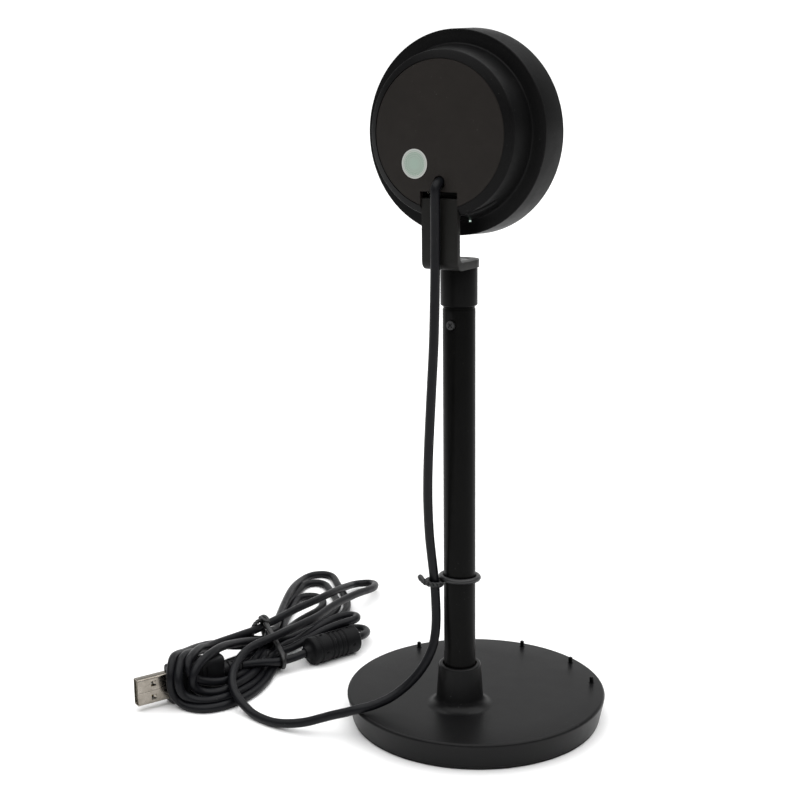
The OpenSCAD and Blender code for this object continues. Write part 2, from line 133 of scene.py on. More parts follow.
# ------------------------------------------------------------------ mesh helpers
def piece(name, verts, faces, smooth_angle=40):
    """A mesh object from points in millimetres."""
    mesh = bpy.data.meshes.new(name)
    mesh.from_pydata([tuple(float(c) * MM for c in v) for v in verts], [], faces)
    mesh.validate()
    ob = put(name, mesh)
    tidy(ob)
    shade(ob, smooth_angle)
    return ob


def tidy(ob):
    """Welds double points and turns the faces outward."""
    bm = bmesh.new()
    bm.from_mesh(ob.data)
    bmesh.ops.remove_doubles(bm, verts=bm.verts, dist=1e-6)
    bmesh.ops.recalc_face_normals(bm, faces=bm.faces)
    bm.to_mesh(ob.data)
    bm.free()


def shade(ob, angle=40):
    mesh = ob.data
    mesh.polygons.foreach_set("use_smooth", [True] * len(mesh.polygons))
    mesh.set_sharp_from_angle(angle=radians(angle))
    mesh.update()


def bake(ob, angle=40):
    """Applies the modifiers, so that none is left on the piece."""
    graph = bpy.context.evaluated_depsgraph_get()
    graph.update()
    mesh = bpy.data.meshes.new_from_object(ob.evaluated_get(graph))
    ob.modifiers.clear()
    old, ob.data = ob.data, mesh
    bpy.data.meshes.remove(old)
    shade(ob, angle)
    return ob


def bevel(ob, width, segments=3, angle=30):
    mod = ob.modifiers.new("bevel", "BEVEL")
    mod.width = width * MM
    mod.segments = segments
    mod.limit_method = "ANGLE"
    mod.angle_limit = radians(angle)
    mod.use_clamp_overlap = True
    return bake(ob)


def cut(ob, *cutters, joined=False):
    """Boolean with each cutter, which is then deleted."""
    for c in cutters:
        mod = ob.modifiers.new("cut", "BOOLEAN")
        mod.operation = "UNION" if joined else "DIFFERENCE"
        mod.solver = "EXACT"
        mod.object = c
        bake(ob)
        bpy.data.objects.remove(c)
    return ob


def join(name, *obs):
    """One object from several meshes."""
    bm = bmesh.new()
    for o in obs:
        part = o.data.copy()
        part.transform(o.matrix_world)
        bm.from_mesh(part)
        bpy.data.meshes.remove(part)
    mesh = bpy.data.meshes.new(name)
    bm.to_mesh(mesh)
    bm.free()
    for o in obs:
        bpy.data.objects.remove(o)
    ob = put(name, mesh)
    shade(ob)
    return ob


def lathe(name, profile, sides=192, closed=True, spot=(0, 0, 0), turn=None):
    """Turns (radius, height) points about +Z, then turns and moves the result."""
    turn = turn or Matrix.Identity(3)
    verts, faces = [], []
    n = len(profile)
    for k in range(sides):
        a = 2 * pi * k / sides
        for r, h in profile:
            verts.append(turn @ Vector((r * cos(a), r * sin(a), h)) + Vector(spot))
    last = n if closed else n - 1
    for k in range(sides):
        q = (k + 1) % sides
        for i in range(last):
            j = (i + 1) % n
            faces.append((k * n + i, q * n + i, q * n + j, k * n + j))
    return piece(name, verts, faces, 32)


def rod(name, r, low, high, sides, spot, turn):
    """A plain round bar, for cutting bores."""
    return lathe(name, [(0, low), (r, low), (r, high), (0, high)], sides, True, spot, turn)


def slab(name, outline, low, high, spot=(0, 0, 0), turn=None):
    """Extrudes a flat outline from low to high along +Z, then turns and moves it."""
    turn = turn or Matrix.Identity(3)
    n = len(outline)
    pts = [turn @ Vector((x, y, h)) + Vector(spot) for h in (low, high) for x, y in outline]
    faces = [tuple(range(n))[::-1], tuple(range(n, 2 * n))]
    faces += [(i, (i + 1) % n, n + (i + 1) % n, n + i) for i in range(n)]
    return piece(name, pts, faces)


def block(name, low, high, spot=(0, 0, 0), turn=None):
    (x0, y0, z0), (x1, y1, z1) = low, high
    return slab(name, [(x0, y0), (x1, y0), (x1, y1), (x0, y1)], z0, z1, spot, turn)


def arc(cx, cy, r, start, end, steps):
    span = [radians(start + (end - start) * k / steps) for k in range(steps + 1)]
    return [(cx + r * cos(a), cy + r * sin(a)) for a in span]


# head pieces are drawn with +Z from the front edge to the back, like the part
HEAD_TURN = Matrix(((1, 0, 0), (0, 0, 1), (0, -1, 0)))
HEAD_SPOT = (HEAD_X, HEAD_FRONT, HEAD_Z)
ROUND_X = Matrix(((0, 0, 1), (1, 0, 0), (0, 1, 0)))


# ------------------------------------------------------------------ cables
def spline(points, step):
    """A smooth line through given points, evenly stepped."""
    p = np.array(points, float)
    p = np.vstack([2 * p[0] - p[1], p, 2 * p[-1] - p[-2]])
    out = []
    for i in range(1, len(p) - 2):
        t = np.linspace(0, 1, 16, endpoint=False)[:, None]
        a, b, c, d = p[i - 1:i + 3]
        out.append(0.5 * (2 * b + (c - a) * t + (2 * a - 5 * b + 4 * c - d) * t**2
                          + (3 * b - a - 3 * c + d) * t**3))
    out.append(p[-2][None])
    return even(np.vstack(out), step)


def even(line, step):
    s = np.concatenate([[0], np.cumsum(np.linalg.norm(np.diff(line, axis=0), axis=1))])
    n = max(2, round(s[-1] / step))
    u = np.linspace(0, s[-1], n + 1)
    return np.stack([np.interp(u, s, line[:, k]) for k in range(3)], 1)


def box_out(centre, half, turn):
    """Pushes points out of a box that stands turned on the table."""
    c, s = cos(radians(turn)), sin(radians(turn))
    m = np.array([[c, s, 0], [-s, c, 0], [0, 0, 1]])

    def fix(line, r):
        q = (line - centre) @ m.T
        over = np.array(half) + r - abs(q)
        rows = np.where((over > 0).all(1))[0]
        k = np.argmin(over[rows], axis=1)
        sign = np.where(q[rows, k] < 0, -1, 1)
        q[rows, k] += sign * over[rows, k]
        return q @ m + centre
    return fix


def rod_out(a, b, rad):
    """Pushes points out of a round bar."""
    a, b = np.array(a, float), np.array(b, float)
    long = np.linalg.norm(b - a)
    ax = (b - a) / long

    def fix(line, r):
        foot = a + np.clip((line - a) @ ax, 0, long)[:, None] * ax
        v = line - foot
        far = np.linalg.norm(v, axis=1, keepdims=True) + 1e-9
        return np.where(far < rad + r, foot + v / far * (rad + r), line)
    return fix


def settle(line, thick, pinned, obstacles, rounds, step, hold=0.05, tight=9.0):
    """Relaxes a laid cable: it stays near its route, bends no tighter than it can, and rests on
    the table, on the parts and on itself."""
    home = line.copy()
    free = ~pinned[:, None]
    idx = np.arange(len(line))
    near = abs(idx[:, None] - idx[None]) <= int(math.ceil(3 * thick / step))
    sag = (2 * step) ** 2 / (2 * tight)
    smooth, unbend, weight, taut, apart = 0.2, 0.3, 0.02, 0.2, 0.5
    for _ in range(rounds):
        move = np.zeros_like(line)
        even_place = (-line[:-4] + 4 * line[1:-3] + 4 * line[3:-1] - line[4:]) / 6
        move[2:-2] += smooth * (even_place - line[2:-2])
        bow = (line[:-4] + line[4:]) / 2 - line[2:-2]
        deep = np.linalg.norm(bow, axis=1, keepdims=True) + 1e-9
        push = bow / deep * np.maximum(deep - sag, 0) * unbend
        move[2:-2] += push
        move[:-4] -= push / 2
        move[4:] -= push / 2
        move += hold * (home - line)
        move[:, 2] -= weight
        line = np.where(free, line + move, line)
        seg = np.diff(line, axis=0)
        far = np.linalg.norm(seg, axis=1, keepdims=True)
        fix = seg * (1 - step / far) * taut
        move = np.zeros_like(line)
        move[:-1] += fix
        move[1:] -= fix
        line = np.where(free, line + move, line)
        for _again in range(2):
            gap = line[:, None] - line[None]
            far = np.linalg.norm(gap, axis=2) + 1e-9
            short = np.where((far < thick) & ~near, thick - far, 0)
            crowd = np.maximum((short > 0).sum(1), 1)[:, None]
            push = (gap / far[..., None] * short[..., None]).sum(1) / crowd
            line = np.where(free, line + apart * push, line)
        for out in obstacles:
            line = np.where(free, out(line, thick / 2), line)
        line[:, 2] = np.maximum(line[:, 2], thick / 2)
    for pull in (0.5, -0.52) * 5:  # in and out again, so that the curves don't shrink
        middle = (line[1:-3] + line[3:-1]) / 2
        line[2:-2] += np.where(free[2:-2], pull * (middle - line[2:-2]), 0)
    line[:, 2] = np.maximum(line[:, 2], thick / 2)
    return line


def frames_along(line):
    """Tangent and two side vectors at each point, without twist."""
    t = np.gradient(line, axis=0)
    t /= np.linalg.norm(t, axis=1, keepdims=True)
    side = np.zeros_like(line)
    v = np.cross(t[0], (0.3, 0.2, 1.0))
    for i in range(len(line)):
        v = v - (v @ t[i]) * t[i]
        v = v / np.linalg.norm(v)
        side[i] = v
    return t, side, np.cross(t, side)


def tube(name, line, radius, sides=20, capped=True):
    """A round skin along a line; radius is one number or one for each point."""
    line = np.asarray(line, float)
    _, a, b = frames_along(line)
    rad = np.full(len(line), radius, float) if np.isscalar(radius) else np.asarray(radius, float)
    angles = 2 * pi * np.arange(sides) / sides
    ring = np.cos(angles)[None, :, None] * a[:, None] + np.sin(angles)[None, :, None] * b[:, None]
    verts = (line[:, None] + ring * rad[:, None, None]).reshape(-1, 3)
    faces = []
    for i in range(len(line) - 1):
        for k in range(sides):
            q = (k + 1) % sides
            faces.append((i * sides + k, i * sides + q, (i + 1) * sides + q, (i + 1) * sides + k))
    if capped:
        faces.append(tuple(range(sides))[::-1])
        faces.append(tuple(range((len(line) - 1) * sides, len(line) * sides)))
    return piece(name, verts, faces, 60)


# the stretch from the head down to the seam behind the bracket
UPPER = [(-2.3, 25.8, 236.6), (-2.3, 25.9, 234.6), (-2.3, 26.5, 232.4), (-2.3, 28, 230.5),
         (-2.3, 30.2, 229.3), (-2.3, 31.8, 228.9), (-2.25, 33.3, 228.3), (-2.15, 34.5, 227.1),
         (-2.1, 35, 225.7), (-2, 35, 222.1), (-1.8, 34.6, 214), (-1.6, 34.3, 206)]
# down the pole, over the edge of the base and out to the hank
RUN = [(-1.6, 34.3, 206), (-1.3, 34.2, 190), (-0.6, 34.2, 168), (1, 33.8, 146), (3, 32.8, 122),
       (4.4, 31.2, 104), (5.1, 29, 88), (5.3, 26.8, 77), (5.2, 25.2, 67.5), (4.8, 24.9, 59),
       (4.2, 25.6, 50), (4.2, 27.2, 42), (5.6, 29.2, 35.5), (9, 31.6, 28.5), (14, 34.8, 22),
       (19.6, 40, 17.2), (24.4, 43.9, 14.9), (28.6, 47.6, 13.9), (34.7, 49.7, 11.6), (42, 51.2, 8.9),
       (51.8, 54, 5.4), (60, 55.6, 3.6), (67, 55.6, 2.4)]
# the hank, strand by strand in the order that the cable runs
HANK = [
    # over the plug's relief and the tie to the far tip, and back under it
    (76.5, 54.3, 2.2), (83.6, 52, 3.4), (89.8, 50, 6), (95.5, 46.6, 8), (99.6, 42.2, 10), (102.5, 36.4, 12),
    (106.3, 27.3, 13.2), (108.4, 16.8, 13.8), (106.7, 6, 14.3), (105.2, -7, 14.3), (105.3, -22, 13.5),
    (106.5, -35, 12.5), (109, -50, 12), (110.5, -63, 11), (111.5, -75, 9.8), (112.4, -87, 8), (114, -95, 6.6),
    (119.5, -102.5, 5), (125.5, -105.5, 3.8), (129.5, -102, 3.4), (128.6, -95, 5), (126.5, -83, 7.5),
    (123.5, -67, 10), (122.5, -53.5, 11), (123, -38, 11.5), (123, -26, 11.5), (123.5, -16, 11),
    # the inner loop over the plug
    (123, -9, 11.5), (122.5, -0.5, 12.5), (122.5, 8.5, 13.5), (122.5, 20.5, 15), (121.5, 33, 16.8),
    (118.5, 44.5, 18.8), (114.5, 54, 19.3), (112, 58.5, 17.5), (110, 57.5, 14.5), (108.5, 53, 11.5),
    (106.5, 48, 9), (104, 44, 8), (103, 38, 7.5), (103.5, 31, 7), (105.5, 22, 6.5), (109.5, 11, 6),
    (113.5, 1, 5.5),
    # the outermost far arch
    (117, -8, 6.2), (122, -18, 6.2), (128, -28.5, 6.2), (134.5, -40, 6), (141.5, -53, 5.8), (149, -68, 5.2),
    (155, -82, 4.2), (159.5, -93.5, 3), (160.5, -102, 2.2), (157.5, -107.8, 2), (152, -108.4, 2),
    (146, -104.2, 2), (139, -97.5, 2), (130, -89, 2.2),
    (121, -79.5, 2.4), (114.5, -69.5, 2.8), (110.5, -59, 3.2), (109, -49, 4), (109.5, -38, 4.5),
    (110, -28, 5), (111, -17, 5.5),
    # a loop down the near face of the plug
    (112, -8, 7), (114.5, 2, 10.5), (115, 14, 14), (113.6, 24, 16.8), (111.8, 33, 19.2), (110, 41, 20.2),
    (108.6, 47.5, 20.2), (108.3, 52.5, 19), (109.3, 57, 16), (110.5, 58, 12), (109.5, 55.5, 8.5),
    (106, 52.5, 6.5), (101, 50, 6), (98.5, 45, 6), (98.5, 38.5, 5.5), (100.5, 28, 5), (104, 16, 4.5),
    # the second arch
    (108, 4, 4), (114, -9, 3.5), (122, -21, 3), (130, -32, 2.5), (137, -43.5, 2), (145, -60, 2),
    (150, -72.5, 2), (153.5, -84.5, 2), (154, -93, 2), (149.5, -96, 2), (142, -91.5, 2), (131.5, -83, 2),
    (122, -72.5, 2.5), (117, -61.5, 3), (114, -49.5, 3.5), (113.5, -37, 4), (113.5, -25, 4.5), (114, -15, 5),
    # the outermost near loop
    (117, -5, 6), (122, 3, 8), (127, 11, 10), (129.5, 21, 12), (127.5, 33.5, 15), (123.5, 47, 18),
    (119.5, 57.5, 19.3), (116.5, 63, 17), (116, 64, 12), (116, 63, 7), (113, 62, 3.5), (108, 61.5, 2.2),
    (102, 60, 2), (98, 56.5, 2), (95.5, 51, 2), (94.5, 45, 2), (94, 38.5, 2), (94.5, 32, 2), (97, 24, 2),
    (100.5, 14.5, 2.5), (104, 5, 3),
    # the innermost arch
    (109, -6, 3), (118, -19, 2.5), (130, -35, 2.5), (138, -52, 2), (143, -64.5, 2), (145, -73, 2),
    (142.5, -77.5, 2), (136, -76, 2), (129.5, -70, 2), (126, -60, 2.6), (125, -50, 3.2), (124, -40, 3.6),
    (121.5, -29, 4), (119, -19, 4.5),
    # the middle near loop
    (120, -9, 6.5), (124, 3, 9), (126.5, 15, 11), (126, 27.5, 13.5), (122.5, 39.5, 16.5), (117.5, 51.5, 18.8),
    (114, 60, 18.8), (112.5, 63.5, 15), (111.5, 63.5, 11), (110.5, 62, 7), (107, 60.5, 4.5), (102, 58.5, 4),
    (98.5, 54.5, 4), (96.5, 49, 4), (96, 42.5, 4), (96.5, 34, 3.5), (99.5, 24, 3), (104.5, 12, 3),
    # the short loop over the ferrite
    (108.5, 2, 3.5), (110, -8.5, 4), (107, -15.5, 6), (103, -24, 9), (100, -31.5, 11), (97, -37.5, 12.5),
    (92, -41.5, 13.5), (87, -39.5, 13.8), (85.5, -34.5, 13.8), (88.5, -29, 13.5), (92.5, -22, 12.5),
    (98, -14, 9.5), (102.5, -9, 6.5),
    # a short hidden turn, then out to the ferrite
    (105, 0, 5), (108, 10, 3.5), (112, 19, 2.5), (117, 26, 2), (122, 25, 2), (123.5, 17, 2), (121.5, 6, 2),
    (118, -6, 2), (112, -20, 2.5), (106, -32, 3), (100, -42, 3.5), (95, -47, 4.2), (90, -47.6, 4.6),
    (85.2, -43.8, 5.4), (82.8, -38, 6.2),
]
# through the ferrite and into the plug
TAIL = [(82.1, -32.8, 6.6), (87.4, -18.3, 6.6), (92.7, -3.8, 6.6), (94.8, 1.5, 6.3), (97.3, 7, 6),
        (100.3, 13.2, 6.5), (103.4, 20.2, 7.8), (106.4, 27.1, 8.8), (108, 30.8, 8.8)]


def along_plug(x, y=0.0, z=0.0):
    """A point in the plug's own directions, in the part's frame."""
    c, s = cos(radians(PLUG_TURN)), sin(radians(PLUG_TURN))
    return (PLUG[0] + c * x - s * y, PLUG[1] + s * x + c * y, PLUG[2] + z)


def lay_cable():
    """The settled centreline of the long cable; the end of the run settles with the hank."""
    step, settled, held_start, held_end, reach_back = 3.0, 7, 8, 5, 30
    line = spline(RUN[-settled:] + HANK + TAIL, step)
    count = len(line)
    idx = np.arange(count)
    pinned = idx < held_start
    pinned[-held_end:] = True
    a, b = np.array(TAIL[0]), np.array(TAIL[2])
    ax = (b - a) / np.linalg.norm(b - a)
    t = (line - a) @ ax
    off = np.linalg.norm(line - a - t[:, None] * ax, axis=1)
    late = idx > count - reach_back
    pinned |= late & (t > -1) & (t < np.linalg.norm(b - a) + 1) & (off < 1)
    round_ferrite = rod_out(TAIL[0], TAIL[2], FERRITE_R)

    def off_ferrite(pts, r):
        return np.where(late[:, None], pts, round_ferrite(pts, r))
    solids = [box_out(along_plug(-PLUG_BACK / 2), (PLUG_BACK / 2, PLUG_HALF, PLUG_TALL / 2), PLUG_TURN),
              box_out(along_plug(SHELL_OUT / 2), (SHELL_OUT / 2, *SHELL_HALF), PLUG_TURN), off_ferrite]
    rounds = 320
    line = settle(line, CABLE, pinned, solids, rounds, step)
    head = spline(RUN, step)
    head = head[:len(head) - 1]
    start = np.array(RUN[-settled])
    keep = np.argmin(np.linalg.norm(head - start, axis=1))
    return spline(np.vstack([head[:keep], line])[::2], 1.3)


def wrap_line(line, a, b, gap, lowest):
    """A closed loop round the strands of a line where they pass the upright plane from a to b."""
    a, b = np.array(a, float), np.array(b, float)
    along = (b - a) / np.linalg.norm(b - a)
    across = np.array([-along[1], along[0]])
    side = (line[:, :2] - a) @ across
    far = (line[:, :2] - a) @ along
    beside = (far[:-1] > -6) & (far[:-1] < np.linalg.norm(b - a) + 6)
    hit = np.where((side[:-1] * side[1:] < 0) & beside)[0]
    hit = hit[1:]  # the first strand lies over the tie
    t = (side[hit] / (side[hit] - side[hit + 1]))[:, None]
    spots = line[hit] + (line[hit + 1] - line[hit]) * t
    flat = np.stack([(spots[:, :2] - a) @ along, spots[:, 2]], 1)
    loop = []
    for k in range(72):
        n = np.array([cos(2 * pi * k / 72), sin(2 * pi * k / 72)])
        q = flat[np.argmax(flat @ n)] + n * gap
        loop.append((*(a + along * q[0]), max(q[1], lowest)))
    return even(np.array(loop + loop[:1]), 0.6)


def loop_tube(name, line, radius, sides=14):
    """A tube whose end meets its start."""
    return tube(name, np.vstack([line, line[1:3]]), radius, sides)


def twisted(name, points, radius, pitch):
    """Two wires twisted round each other along a line."""
    line = spline(points, 0.4)
    _, a, b = frames_along(line)
    turn = 2 * pi * np.arange(len(line)) * 0.4 / pitch
    wires = []
    for phase in (0, pi):
        off = np.cos(turn + phase)[:, None] * a + np.sin(turn + phase)[:, None] * b
        wires.append(tube(name + "_wire", line + off * radius * 0.95, radius, 10))
    return join(name, *wires)


main_line = lay_cable()
main_cable = tube("long_cable", main_line, CABLE / 2)
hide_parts("cord_run", "cord_hank", "cord_tail")
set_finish(main_cable, "cable_jacket")
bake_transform(main_cable)

upper_line = spline(UPPER, 0.8)
upper_cable = tube("upper_cable", upper_line, CABLE / 2)
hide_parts("cord_exit", "cord_back")
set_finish(upper_cable, "cable_jacket")
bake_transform(upper_cable)


# ------------------------------------------------------------------ ties
def tie_for_pole():
    """A round black tie: a ring round the pole, a ring round the cable, and its twisted tails."""
    r = 1.15
    ring = [(POLE[0] + (POLE_R + r) * cos(a), POLE[1] + (POLE_R + r) * sin(a),
             TIE_Z + 0.5 * sin(a)) for a in np.linspace(0, 2 * pi, 97)]
    one = loop_tube("t1", np.array(ring), r)
    grip = CABLE / 2 + 1.05
    small = [(TIE_CABLE[0] + grip * cos(a), TIE_CABLE[1] + grip * sin(a),
              TIE_Z - 1.2 + 0.6 * cos(a)) for a in np.linspace(0, 2 * pi, 65)]
    two = loop_tube("t2", np.array(small), 1.0)
    tails = twisted("t3", [(1.6, 25.3, 66.4), (2.2, 26.8, 66.2), (4.2, 28.9, 66.6), (7, 29.4, 67.2),
                           (9.2, 28.2, 67.8)], 0.62, 3.2)
    bulb = spline([(7.6, 29.2, 67.4), (8.6, 28.8, 67.7), (9.6, 28.2, 68), (10.6, 27.4, 68.3),
                   (11.2, 26.9, 68.4)], 0.3)
    swell = np.interp(np.arange(len(bulb)), [0, 3, 8, 13, 16], [0.6, 1.0, 1.25, 1.1, 0.5])
    tip = tube("t4", bulb, swell, 14)
    return join("pole_twist_tie", one, two, tails, tip)


def tie_for_hank():
    """The twist tie that gathers the hank, with its knot on top."""
    loop = wrap_line(main_line[main_line[:, 2] < 30], (128, -15.5), (102.5, 4), CABLE / 2 + 1.0, 1.0)
    band = loop_tube("h1", loop, 1.05)
    inner = loop_tube("h2", loop + np.array([0.9, -1.6, 0.25]), 0.85)
    top = loop[np.argmax(loop[:, 2] - 0.25 * abs(loop[:, 0] - 122))]
    knot = []
    for a in np.linspace(0, 2.6 * pi, 60):
        knot.append(top + np.array([2.1 * cos(a), 1.3 * sin(a), 1.1 + 0.9 * sin(1.5 * a)]))
    curl = tube("h3", np.array(knot), 0.9, 12)
    tail = ((0, 0, 0.8), (0.6, 2, 1.2), (1.2, 5, 0.4), (0.6, 8.5, -1.6), (-1.5, 11, -3))
    tails = twisted("h4", [tuple(top + np.array(v)) for v in tail], 0.6, 3)
    return join("hank_twist_tie", band, inner, curl, tails)


pole_tie = tie_for_pole()
hank_tie = tie_for_hank()


# ------------------------------------------------------------------ ferrite and plug
def turned_along(degrees):
    """Turns +Z to lie level along a compass angle, like the part's rotate([0, 90, degrees])."""
    return Matrix.Rotation(radians(degrees), 3, "Z") @ Matrix.Rotation(radians(90), 3, "Y")


def ferrite():
    end = FERRITE_LEN
    ribs = []
    for start in (10.4, 13.0, 15.6, 18.2):
        ribs += [(6.45, start), (6.05, start + 0.35), (6.0, start + 0.7), (6.05, start + 1.05),
                 (6.45, start + 1.4)]
    profile = [(1.95, -1.5), (2.5, -1.5), (2.9, -0.2), (3.3, 0.6), (4.4, 1.3)]
    profile += arc(5.3, 2.5, 1.2, 290, 360, 6)
    profile += [(6.5, 4.2), (6.2, 4.5), (6.15, 5.0), (6.2, 5.5), (6.5, 5.8)] + ribs + [(6.5, 20.4)]
    profile += arc(5.1, end - 1.9, 1.4, 0, 75, 6)
    profile += [(3.4, end - 0.1), (2.9, end + 0.8), (2.5, end + 1.4), (1.95, end + 1.4)]
    profile += [(1.95, end - 2.8), (5.3, end - 2.8), (5.3, 3), (1.95, 3)]
    turn = turned_along(FERRITE_TURN)
    body = lathe("f1", profile, 96, True, FERRITE_END, turn)
    dents = []
    for along in (7.6, 22.6):
        for side in (1, -1):
            at = turn @ Vector((0, side * 6.9, along)) + Vector(FERRITE_END)
            dents.append(ball("dent", at, 0.95))
    cut(body, join("dents", *dents))
    nubs = [block("nub", (-7.0, -0.5, z), (-6.2, 0.5, z + 1.0), FERRITE_END, turn)
            for z in (7.4, 12.0, 14.6, 17.2, 22.4)]
    return join("ferrite_jacket", body, *[bevel(n, 0.2) for n in nubs])


def ball(name, at, r, steps=20):
    turns = [pi * k / steps for k in range(steps + 1)]
    profile = [(r * sin(a), -r * cos(a)) for a in turns]
    return lathe(name, profile, 24, False, at)


def round_box(name, half, radius, steps, low, high, turn, spot):
    """A bar along +X with rounded long edges; half is (y, z)."""
    hy, hz = half
    outline = []
    for cy, cz, a in ((hy, hz, 0), (-hy, hz, 90), (-hy, -hz, 180), (hy, -hz, 270)):
        y, z = cy - math.copysign(radius, cy), cz - math.copysign(radius, cz)
        outline += arc(y, z, radius, a, a + 90, steps)
    return slab(name, outline, low, high, spot, turn @ ROUND_X)


PLUG_FACE = Matrix.Rotation(radians(PLUG_TURN), 3, "Z")


def plug_block(name, low, high):
    """A block in the plug's own directions."""
    return block(name, low, high, PLUG, PLUG_FACE)


def plug():
    body = round_box("p1", (PLUG_HALF, PLUG_TALL / 2), 2.2, 8, -PLUG_BACK, 0, PLUG_FACE, PLUG)
    bevel(body, 0.9, 4, 50)
    cut(body, round_box("hole", (2.27, 6.02), 0.4, 3, -8, 4, PLUG_FACE, PLUG))
    grips = []
    for k in range(5):
        for side in (1, -1):
            x = -17.5 + 2.6 * k
            y = side * PLUG_HALF
            grips.append(plug_block("g", (x, y - 0.35, -5.2), (x + 1.1, y + 0.35, 5.2)))
    cut(body, bevel(join("grips", *grips), 0.15, 2))
    rings = [(1.95, 0.2), (4.1, 0.2)]
    for k in range(4):
        z, r = 1.2 + 2.3 * k, 4.0 - 0.36 * k
        rings += [(r, z), (r - 0.1, z + 1.0), (r - 0.75, z + 1.3), (r - 0.8, z + 1.9)]
    rings += [(2.6, 10.2), (2.3, 10.6), (1.95, 10.6)]
    relief = lathe("p2", rings, 48, True, along_plug(-PLUG_BACK + 0.3), turned_along(PLUG_TURN + 180))
    return join("plug_overmould", body, relief)


def plug_metal():
    """The folded sheet shell: two square windows a side, a seam and a small latch mark."""
    shell = round_box("s1", SHELL_HALF, 0.7, 5, -7.9, SHELL_OUT, PLUG_FACE, PLUG)
    cut(shell, round_box("inside", (1.95, 5.7), 0.45, 4, -7.4, 40, PLUG_FACE, PLUG))
    places = (-WINDOW_UP, WINDOW_UP)
    holes = [plug_block("w", (6.6, -5, s - 1.15), (8.9, 5, s + 1.15)) for s in places]
    for low, high in ((-2.4, -2.15), (2.15, 2.4)):
        holes.append(plug_block("m", (3.2, low, -0.9), (4.2, high, 0.9)))
    holes.append(plug_block("seam", (-1, 2.1, -0.06), (20, 2.4, 0.06)))
    cut(shell, *holes)
    springs = []
    for s in places:
        leaf = [(6, 1.8), (6.5, 1.75), (7.5, 0.9), (7.65, 1.05), (6.6, 1.98), (6, 2)]
        for side in (1, -1):
            pts = [(x, side * y) for x, y in leaf]
            springs.append(slab("leaf", pts, s - 0.6, s + 0.6, PLUG, PLUG_FACE))
    return join("plug_shell_metal", shell, *springs)


def plug_inside():
    return bevel(plug_block("t", (-7.4, -1.9, -5.6), (13.4, -0.1, 5.6)), 0.2, 3)


def plug_contacts():
    pads = []
    for z in (-3.5, -1.0, 1.0, 3.5):
        front = 12.4 if abs(z) > 2 else 11.4
        pads.append(bevel(plug_block("c", (4.5, -0.15, z - 0.5), (front, 0.12, z + 0.5)), 0.05, 2))
    return join("plug_contacts", *pads)


ferrite_skin = ferrite()
plug_skin = plug()
plug_shell = plug_metal()
plug_tongue = plug_inside()
plug_tongue.name = "plug_tongue_block"
plug_pins = plug_contacts()


# ------------------------------------------------------------------ base and pole
def base_shell():
    rim = [(52.75, 1.2), (53.0, 1.45), (54.93, 10.5)] + arc(53.8, 10.8, 1.2, 0, 90, 10)
    profile = [(0, 10.25), (52.6, 10.25), (51.2, 1.2)] + rim + [(40, 12), (0, 12)]
    return lathe("base_shell", profile, 288, True)


def base_boss():
    profile = [(6.56, 10.4), (13.9, 10.4)] + arc(13.9, 16.2, 4.2, 270, 180, 14) + [(9.3, 22)]
    profile += arc(7.95, 29.2, 0.8, 0, 90, 6) + [(7.2, 30), (6.75, 29.3), (6.56, 28.8)]
    return lathe("base_boss", profile, 160, True, (*POLE, 0))


def edge_pegs():
    made = []
    for a in (-30, -86, -118, -144):
        x, y = PEG_RING * cos(radians(a)), PEG_RING * sin(radians(a))
        profile = [(0, 11.2), (0.88, 11.2), (0.88, 14.35)] + arc(0.63, 14.35, 0.25, 0, 90, 5) + [(0, 14.6)]
        made.append(lathe("peg", profile, 28, False, (x, y, 0)))
        foot = [(0.85, 11.98), (1.25, 11.98), (1.2, 12.12), (0.85, 12.2)]
        made.append(lathe("collar", foot, 28, True, (x, y, 0)))
    return join("edge_pegs", *made)


def foot_pad():
    profile = [(0, 1.2), (51.9, 1.2)] + arc(51.9, 0.75, 0.7, 60, -80, 8)[1:] + [(49, 0.05), (0, 0.05)]
    return lathe("foot_pad", profile, 192, False)


def pole_tube():
    top = 180.0
    profile = [(5.3, 13), (POLE_R - 0.3, 13), (POLE_R, 13.3), (POLE_R, top - 1.5), (POLE_R - 0.06, top - 1.3),
               (POLE_R - 0.25, top - 1.2), (POLE_R - 0.25, top - 0.05), (5.3, top - 0.05)]
    ob = lathe("pole_tube", profile, 160, True, (*POLE, 0))
    aim_y = Matrix.Rotation(radians(-90), 3, "X")
    cut(ob, rod("hole", 1.95, 4, 9, 40, (*POLE, 172.8), aim_y))
    return bevel(ob, 0.08, 2, 50)


def collar():
    profile = [(0, 160), (5.27, 160), (5.27, 179.9), (6.9, 180), (7.25, 180.3), (7.3, 180.6), (7.3, 194.5),
               (7.2, 194.85), (6.9, 195), (5.5, 195), (5.5, 193.8), (2.52, 193.8), (2.52, 178), (0, 178)]
    return lathe("collar_skin", profile, 160, True, (*POLE, 0))


